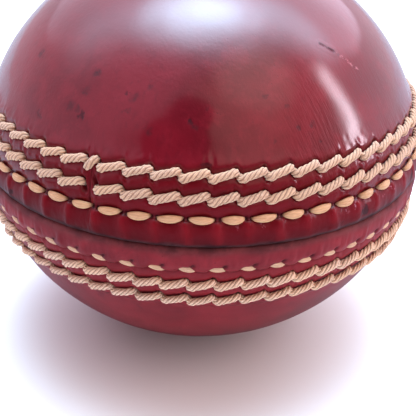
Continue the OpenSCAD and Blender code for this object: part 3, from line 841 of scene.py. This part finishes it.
    # heights in mm
    scr = M.noise(M.coords(scale=(1.0, 1.0, 0.10), rot=(0.25, -0.2, 0.3)), 3400, 2, 0.5, 0.1)
    height = M.mul(M.sub(fine, 0.5), 0.020)
    height = M.add(height, M.mul(M.sub(M.noise(obj, 900, 3, 0.55), 0.5), 0.028))
    height = M.add(height, M.mul(M.sub(scr, 0.5), 0.014))
    height = M.add(height, M.mul(M.mul(M.sub(M.noise(obj, 1450, 3, 0.6), 0.5), band), 0.034))
    height = M.add(height, M.mul(M.sub(streak, 0.5), 0.012))
    if not lower:
        along = Vector((0.54, -0.06, -0.84)).normalized()
        dd = M.node("VectorMath", operation="DOT_PRODUCT"); M.link(obj, dd.inputs[0]); dd.inputs[1].default_value = along
        da = M.node("VectorMath", operation="SCALE"); da.inputs[0].default_value = along * 0.92; M.link(dd.outputs["Value"], da.inputs["Scale"])
        pv = M.node("VectorMath", operation="SUBTRACT"); M.link(obj, pv.inputs[0]); M.link(da.outputs[0], pv.inputs[1])
        brush = M.noise(pv.outputs[0], 3600, 2, 0.6)
        bdir = M.node("VectorMath", operation="DOT_PRODUCT"); M.link(obj, bdir.inputs[0]); bdir.inputs[1].default_value = Vector((0.80, -0.40, 0.44)).normalized()
        where = M.ramp(bdir.outputs["Value"], 0.0325, 0.0352)
        height = M.add(height, M.mul(M.mul(M.sub(brush, 0.5), where), 0.095))
    height = M.sub(height, M.mul(porem, 0.014))
    height = M.sub(height, M.mul(speck, 0.030))
    height = M.add(height, M.mul(flake, 0.05))
    if gash is not None:
        height = M.sub(height, M.mul(gash, 0.30))
        height = M.add(height, M.mul(rim, 0.05))
        height = M.add(height, M.mul(chips, 0.035))
    M.link(M.bump(height), M.bsdf.inputs["Normal"])
    return M.m

def cord_material(name, light, dark, warm, fibre_scale=2.6, rough=0.82, wax=0.0):
    M = Mat(name)
    obj = M.coords()
    fib = M.attr("fibre", "Vector")
    st = M.node("Mapping"); st.inputs["Scale"].default_value = (fibre_scale * 1.9, fibre_scale * 0.42, 1.0)
    M.link(fib, st.inputs["Vector"])
    f1 = M.noise(st.outputs["Vector"], 2.4, 3, 0.6)
    big = M.noise(obj, 130, 3, 0.5)
    spot = M.noise(obj, 2600, 2, 0.6)
    lay = M.attr("lay")
    tuck = M.attr("tuck")
    col = M.mix(M.ramp(f1, 0.36, 0.66), dark, light)
    col = M.mix(M.mul(M.ramp(big, 0.35, 0.65), 0.55), col, warm)
    # painted shade in the valleys between the strands
    strand_valley_shade = M.ramp(lay, 0.50, 1.0)
    col = M.mix(M.mul(strand_valley_shade, 0.72 if wax == 0 else 0.22), col, tuple(c * f for c, f in zip(dark, (0.36, 0.27, 0.25))))
    col = M.mix(M.mul(M.ramp(spot, 0.62, 0.78), 0.10), col, tuple(c * 0.6 for c in dark))
    # painted shade where the cord ends go down into their holes
    col = M.mix(M.mul(tuck, 0.72), col, (0.085, 0.028, 0.022))
    M.link(col, M.bsdf.inputs["Base Color"])
    r = M.add(rough, M.mul(M.sub(f1, 0.5), 0.15))
    M.link(r, M.bsdf.inputs["Roughness"])
    M.sets(IOR=1.45)
    if wax:
        M.sets(Coat_Weight=wax, Coat_Roughness=0.32)
    else:
        M.bsdf.inputs["Sheen Weight"].default_value = 0.25
        M.bsdf.inputs["Sheen Roughness"].default_value = 0.5
    hgt = M.add(M.mul(M.sub(f1, 0.5), 0.030), M.mul(M.sub(spot, 0.5), 0.006))
    M.link(M.bump(hgt), M.bsdf.inputs["Normal"])
    return M.m

def simple_material(name, a, b, scale, rough, kind="noise", bump=0.02, c=None):
    """Materials of the pieces inside the ball."""
    M = Mat(name)
    obj = M.coords()
    if kind == "yarn":
        w1 = M.node("TexWave", wave_type="BANDS", bands_direction="DIAGONAL"); M.link(M.coords(rot=(0.3, 0.2, 0.1)), w1.inputs["Vector"])
        w1.inputs["Scale"].default_value = scale; w1.inputs["Distortion"].default_value = 3.0; w1.inputs["Detail"].default_value = 2.0
        w1.inputs["Detail Scale"].default_value = 1.2
        w2 = M.node("TexWave", wave_type="BANDS", bands_direction="DIAGONAL"); M.link(M.coords(rot=(1.9, 0.4, 1.2)), w2.inputs["Vector"])
        w2.inputs["Scale"].default_value = scale * 0.93; w2.inputs["Distortion"].default_value = 3.0; w2.inputs["Detail"].default_value = 2.0
        pick = M.ramp(M.noise(obj, 95, 2), 0.46, 0.54)
        n1 = M.node("Mix", data_type="FLOAT"); M.link(pick, n1.inputs[0]); M.link(w1.outputs["Fac"], n1.inputs[2]); M.link(w2.outputs["Fac"], n1.inputs[3])
        f = n1.outputs[0]
    elif kind == "cork":
        v = M.voronoi(obj, scale)
        sep = M.node("SeparateColor"); M.link(v.outputs["Color"], sep.inputs[0])
        f = M.math("MULTIPLY", sep.outputs[0], M.ramp(M.noise(obj, scale * 4, 3), 0.3, 0.7, 0.7, 1.0))
    else:
        f = M.noise(obj, scale, 4, 0.6, 0.2)
    col = M.mix(M.ramp(f, 0.25, 0.75), a, b)
    col = M.mix(M.mul(M.ramp(M.noise(obj, scale * 3.1, 3), 0.55, 0.75), 0.4), col, c or tuple(x * 0.45 for x in a))
    M.link(col, M.bsdf.inputs["Base Color"])
    M.link(M.add(rough, M.mul(M.sub(M.noise(obj, scale * 2, 2), 0.5), 0.2)), M.bsdf.inputs["Roughness"])
    M.link(M.bump(M.mul(f, bump)), M.bsdf.inputs["Normal"])
    return M.m

# ---------------------------------------------------------------- build
mat_up = leather_material("leather_upper_lacquered", False)
mat_lo = leather_material("leather_lower_painted_lighter", True)
# one cord in two copies: the upper rows painted darker and the lower rows painted lighter, evening out the light from
# above
mat_cord = cord_material("twisted_cord_upper_painted_darker", rgb(217, 176, 147), rgb(177, 128, 99), rgb(207, 157, 119))
mat_cord_low = cord_material("twisted_cord_pale", rgb(235, 197, 170), rgb(192, 145, 117), rgb(225, 178, 140))
mat_wax = cord_material("waxed_closing_thread", rgb(222, 172, 130), rgb(186, 125, 80), rgb(214, 160, 113), fibre_scale=3.2, rough=0.50, wax=0.25)

q1 = quarter("skin_upper_right", "quarter_upper_right", False, 0.0)
q2 = quarter("skin_upper_left", "quarter_upper_left", False, 180.0)
q3 = quarter("skin_lower_front", "quarter_lower_front", True, -90.0)
q4 = quarter("skin_lower_back", "quarter_lower_back", True, 90.0)
for q, m in ((q1, mat_up), (q2, mat_up), (q3, mat_lo), (q4, mat_lo)):
    q.data.materials.append(m)

rows = [cord_row("cord_row_1", "cord_upper_outer", "up_out"), cord_row("cord_row_2", "cord_upper_inner", "up_in"),
        cord_row("cord_row_5", "cord_lower_inner", "lo_in"), cord_row("cord_row_6", "cord_lower_outer", "lo_out")]
for r, m in zip(rows, (mat_cord, mat_cord, mat_cord_low, mat_cord_low)):
    r.data.materials.append(m)
ovals = [closing_row("closing_row_3", "closing_upper", False), closing_row("closing_row_4", "closing_lower", True)]
mat_wax_low = cord_material("waxed_closing_thread_worn", rgb(224, 180, 147), rgb(170, 118, 88), rgb(212, 162, 121), fibre_scale=3.2, rough=0.62, wax=0.12)
for r, m in zip(ovals, (mat_wax, mat_wax_low)):
    r.data.materials.append(m)

inner_mats = {
    "yarn_a": simple_material("wool_yarn_pale", rgb(226, 214, 186), rgb(170, 150, 116), 330, 0.9, "yarn", 0.18),
    "yarn_b": simple_material("wool_yarn_brown", rgb(214, 198, 162), rgb(150, 126, 92), 330, 0.9, "yarn", 0.18),
    "cork": simple_material("pressed_cork", rgb(196, 150, 98), rgb(136, 90, 50), 620, 0.85, "cork", 0.10, rgb(70, 40, 22)),
    "lining": simple_material("split_leather_lining", rgb(196, 156, 112), rgb(160, 118, 80), 500, 0.88, "noise", 0.06),
    "thread": simple_material("linen_thread", rgb(226, 208, 176), rgb(180, 150, 112), 1500, 0.8, "noise", 0.03),
}
for n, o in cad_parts.items():
    key = None
    if n.startswith("winding"):
        key = "yarn_a" if n[-1] in "135" else "yarn_b"
    elif n.startswith("cork"):
        key = "cork"
    elif n.startswith("lining"):
        key = "lining"
    elif n.startswith("hidden") or n == "closing_cross_runs":
        key = "thread"
    if key:
        if not o.material_slots:
            o.data.materials.append(inner_mats[key])
        for s in o.material_slots:
            s.material = inner_mats[key]

# ---------------------------------------------------------------- floor
floor_z = -HALF_H - 0.25
def plane(name, size, z):
    me = bpy.data.meshes.new(name)
    h = size / 2
    me.from_pydata([(-h, -h, z), (h, -h, z), (h, h, z), (-h, h, z)], [], [(0, 1, 2, 3)])
    ob = bpy.data.objects.new(name, me)
    bpy.context.scene.collection.objects.link(ob)
    return ob
floor = plane("floor", 6.0, floor_z * MM)
fm = bpy.data.materials.new("floor_pale"); fm.use_nodes = True
ft = fm.node_tree
for n in list(ft.nodes):
    if n.type == "BSDF_PRINCIPLED":
        ft.nodes.remove(n)
f_out = next(n for n in ft.nodes if n.type == "OUTPUT_MATERIAL")
f_a, f_b, f_mix, f_path = (ft.nodes.new("ShaderNode" + k) for k in ("BsdfDiffuse", "BsdfDiffuse", "MixShader", "LightPath"))
f_a.inputs["Color"].default_value = (0.82, 0.81, 0.78, 1)
# for reflections the table is dim further out on the camera's side, light close round the ball and to the sides
f_tc, f_len, f_map, f_col = (ft.nodes.new("ShaderNode" + k) for k in ("TexCoord", "VectorMath", "MapRange", "Mix"))
f_len.operation = "DOT_PRODUCT"
f_len.inputs[1].default_value = (math.cos(math.radians(CAM_AZ)), math.sin(math.radians(CAM_AZ)), 0)
f_col.data_type = "RGBA"
ft.links.new(f_tc.outputs["Object"], f_len.inputs[0])
f_map.interpolation_type = "SMOOTHSTEP"
ft.links.new(f_len.outputs["Value"], f_map.inputs["Value"])
f_map.inputs["From Min"].default_value, f_map.inputs["From Max"].default_value = 0.012, 0.058
ft.links.new(f_map.outputs["Result"], f_col.inputs[0])
f_col.inputs[6].default_value = (0.36, 0.34, 0.35, 1)
f_col.inputs[7].default_value = (0.02, 0.018, 0.018, 1)
ft.links.new(f_col.outputs[2], f_b.inputs["Color"])
ft.links.new(f_path.outputs["Is Glossy Ray"], f_mix.inputs[0])
ft.links.new(f_a.outputs[0], f_mix.inputs[1]); ft.links.new(f_b.outputs[0], f_mix.inputs[2])
ft.links.new(f_mix.outputs[0], f_out.inputs["Surface"])
floor.data.materials.append(fm)

# ---------------------------------------------------------------- light
def az_dir(rel, el):
    a, e = math.radians(CAM_AZ + rel), math.radians(el)
    return Vector((math.cos(e) * math.cos(a), math.cos(e) * math.sin(a), math.sin(e)))

world = bpy.data.worlds.new("studio")
bpy.context.scene.world = world
world.use_nodes = True
nt = world.node_tree
bg = next(n for n in nt.nodes if n.type == "BACKGROUND")
def wn(kind, **props):
    n = nt.nodes.new("ShaderNode" + kind)
    for k, v in props.items():
        setattr(n, k, v)
    return n
tc = wn("TexCoord")
def lobe(rel, el, inner, outer):
    """1 inside the inner half angle round a direction, 0 outside the outer one."""
    dot = wn("VectorMath", operation="DOT_PRODUCT")
    nt.links.new(tc.outputs["Generated"], dot.inputs[0])
    dot.inputs[1].default_value = az_dir(rel, el)
    mr = wn("MapRange", interpolation_type="SMOOTHSTEP")
    nt.links.new(dot.outputs["Value"], mr.inputs["Value"])
    mr.inputs["From Min"].default_value = math.cos(math.radians(outer))
    mr.inputs["From Max"].default_value = math.cos(math.radians(inner))
    return mr.outputs["Result"]
def mixc(f, a, b, blend="MIX"):
    n = wn("Mix", data_type="RGBA", blend_type=blend)
    nt.links.new(f, n.inputs[0]) if hasattr(f, "node") else setattr(n.inputs[0], "default_value", f)
    for i, v in ((6, a), (7, b)):
        if isinstance(v, tuple):
            n.inputs[i].default_value = (*v, 1)
        else:
            nt.links.new(v, n.inputs[i])
    return n.outputs[2]
col = (0.86, 0.66, 0.80)                                          # cool side, left of the camera
col = mixc(lobe(65, 25, 25, 80), col, (0.66, 0.48, 0.42))         # warm side, right
col = mixc(lobe(0, -12, 30, 68), col, (0.07, 0.07, 0.07))         # dim low front
col = mixc(lobe(118, 8, 12, 46), col, (1.15, 0.98, 1.15))
col = mixc(lobe(28, 42, 10, 30), col, (1.10, 0.84, 0.74))         # paler wall beside it
col = mixc(lobe(50, 58, 6, 23), col, (1.9, 1.60, 1.46))           # warm ceiling patch
col = mixc(lobe(-8, 42, 9, 13), col, (0.012, 0.012, 0.012))       # whoever stands at the camera
col = mixc(lobe(-13, 26, 15, 20), col, (0.012, 0.012, 0.012))
col = mixc(lobe(-10, 6, 17, 24), col, (0.012, 0.012, 0.012))
# a big soft panel above and behind, laid out on a flat ceiling: u to the right and v to the back, per unit of height
def comp(v):
    d = wn("VectorMath", operation="DOT_PRODUCT")
    nt.links.new(tc.outputs["Generated"], d.inputs[0]); d.inputs[1].default_value = v
    return d.outputs["Value"]
def wm(op, a, b=0.0, clamp=False):
    n = wn("Math", operation=op, use_clamp=clamp)
    for i, v in ((0, a), (1, b)):
        if isinstance(v, (int, float)):
            n.inputs[i].default_value = v
        else:
            nt.links.new(v, n.inputs[i])
    return n.outputs[0]
zz = wm("MAXIMUM", comp((0, 0, 1)), 0.06)
uu = wm("DIVIDE", comp(az_dir(90, 0)), zz)
vv = wm("DIVIDE", comp(az_dir(180, 0)), zz)
def dist2(cu, cv, su, sv):
    a = wm("MULTIPLY", wm("SUBTRACT", uu, cu), 1 / su); b = wm("MULTIPLY", wm("SUBTRACT", vv, cv), 1 / sv)
    return wm("ADD", wm("MULTIPLY", a, a), wm("MULTIPLY", b, b))
def mr(v, a, b, lo=0.0, hi=1.0):
    n = wn("MapRange", interpolation_type="SMOOTHSTEP")
    nt.links.new(v, n.inputs["Value"])
    for k, x in (("From Min", a), ("From Max", b), ("To Min", lo), ("To Max", hi)):
        n.inputs[k].default_value = x
    return n.outputs["Result"]
inside = mr(wm("SQRT", dist2(0.0, 2.48, 2.2, 2.5)), 1.07, 0.91)
above = mr(comp((0, 0, 1)), 0.04, 0.16)
def glow(cu, cv, su, sv, power):
    return wm("MULTIPLY", wm("EXPONENT", wm("MULTIPLY", dist2(cu, cv, su, sv), -0.5)), power)
core = wm("ADD", glow(0.0, 0.24, 0.245, 0.20, 20.0), wm("ADD", glow(0.76, 0.40, 0.36, 0.18, 4.0), glow(-0.83, 0.34, 0.40, 0.25, 1.6)))
level = mr(uu, -1.7, 1.3, 0.70, 1.80)
def scaled(v, rgb3):
    n = wn("VectorMath", operation="SCALE"); n.inputs[0].default_value = rgb3; nt.links.new(v, n.inputs["Scale"])
    return n.outputs[0]
def plus(a, b):
    n = wn("VectorMath", operation="ADD"); nt.links.new(a, n.inputs[0]); nt.links.new(b, n.inputs[1])
    return n.outputs[0]
mask = wm("MULTIPLY", inside, above)
total = plus(col, scaled(wm("MULTIPLY", level, mask), (0.92, 0.82, 1.05)))
total = plus(total, scaled(wm("MULTIPLY", core, above), (0.58, 0.92, 1.18)))
# a tall narrow window to the right: a strip of the sky sphere from the horizon up
strip = wm("EXPONENT", wm("MULTIPLY", wm("POWER", wm("ABSOLUTE", wm("MULTIPLY", wm("SUBTRACT", comp(az_dir(155, 0)), 0.35), 1 / 0.065)), 2.0), -1.0))
strip = wm("MULTIPLY", strip, wm("MULTIPLY", mr(comp(az_dir(65, 0)), 0.3, 0.5), mr(comp((0, 0, 1)), 0.72, 0.60)))
strip = wm("MULTIPLY", strip, mr(comp((0, 0, 1)), 0.0, 0.10))
total = plus(total, scaled(wm("MULTIPLY", strip, mr(comp((0, 0, 1)), 0.65, 0.10, 11.0, 18.0)), (1.0, 0.88, 1.0)))
lp = wn("LightPath")
total = mixc(lp.outputs["Is Camera Ray"], total, (0.98, 0.98, 0.985))
nt.links.new(total, bg.inputs["Color"])
bg.inputs["Strength"].default_value = 1.0

# ---------------------------------------------------------------- camera, from the fit of the photograph's perspective
def camera():
    e, roll, D, f = math.radians(23.5387), math.radians(1.311), 142.2, 822.0
    px = py = 208.0
    uc, vc = 201.558, 137.725
    C = np.array([0, -math.cos(e), math.sin(e)]) * D
    fw = -C / np.linalg.norm(C)
    right = np.array([1.0, 0, 0]); up = np.cross(right, fw)
    c, s = math.cos(roll), math.sin(roll)
    right, up = c * right + s * up, -s * right + c * up
    d = np.array([(uc - px) / f, -(vc - py) / f, 1.0]); d /= np.linalg.norm(d)
    z = np.array([0, 0, 1.0])
    v = np.cross(z, d); k = float(z @ d)
    V = np.array([[0, -v[2], v[1]], [v[2], 0, -v[0]], [-v[1], v[0], 0]])
    R = np.eye(3) + V + V @ V / (1 + k)
    A = R @ np.array([right, up, fw])
    t = math.radians(CAM_AZ + 90)
    Z = np.array([[math.cos(t), -math.sin(t), 0], [math.sin(t), math.cos(t), 0], [0, 0, 1]])
    C, A = Z @ C, A @ Z.T
    cam = bpy.data.cameras.new("camera")
    cam.sensor_width = 36.0
    cam.sensor_fit = "HORIZONTAL"
    cam.lens = f * 36.0 / 416
    cam.clip_start, cam.clip_end = 0.01, 20
    ob = bpy.data.objects.new("camera", cam)
    M = Matrix.Identity(4)
    for r in range(3):
        M[r][0], M[r][1], M[r][2], M[r][3] = A[0][r], A[1][r], -A[2][r], C[r] * MM
    ob.matrix_world = M
    bpy.context.scene.collection.objects.link(ob)
    bpy.context.scene.camera = ob
camera()
bpy.context.scene.view_settings.view_transform = "Standard"
bpy.context.scene.view_settings.look = "None"

bpy.context.view_layer.update()
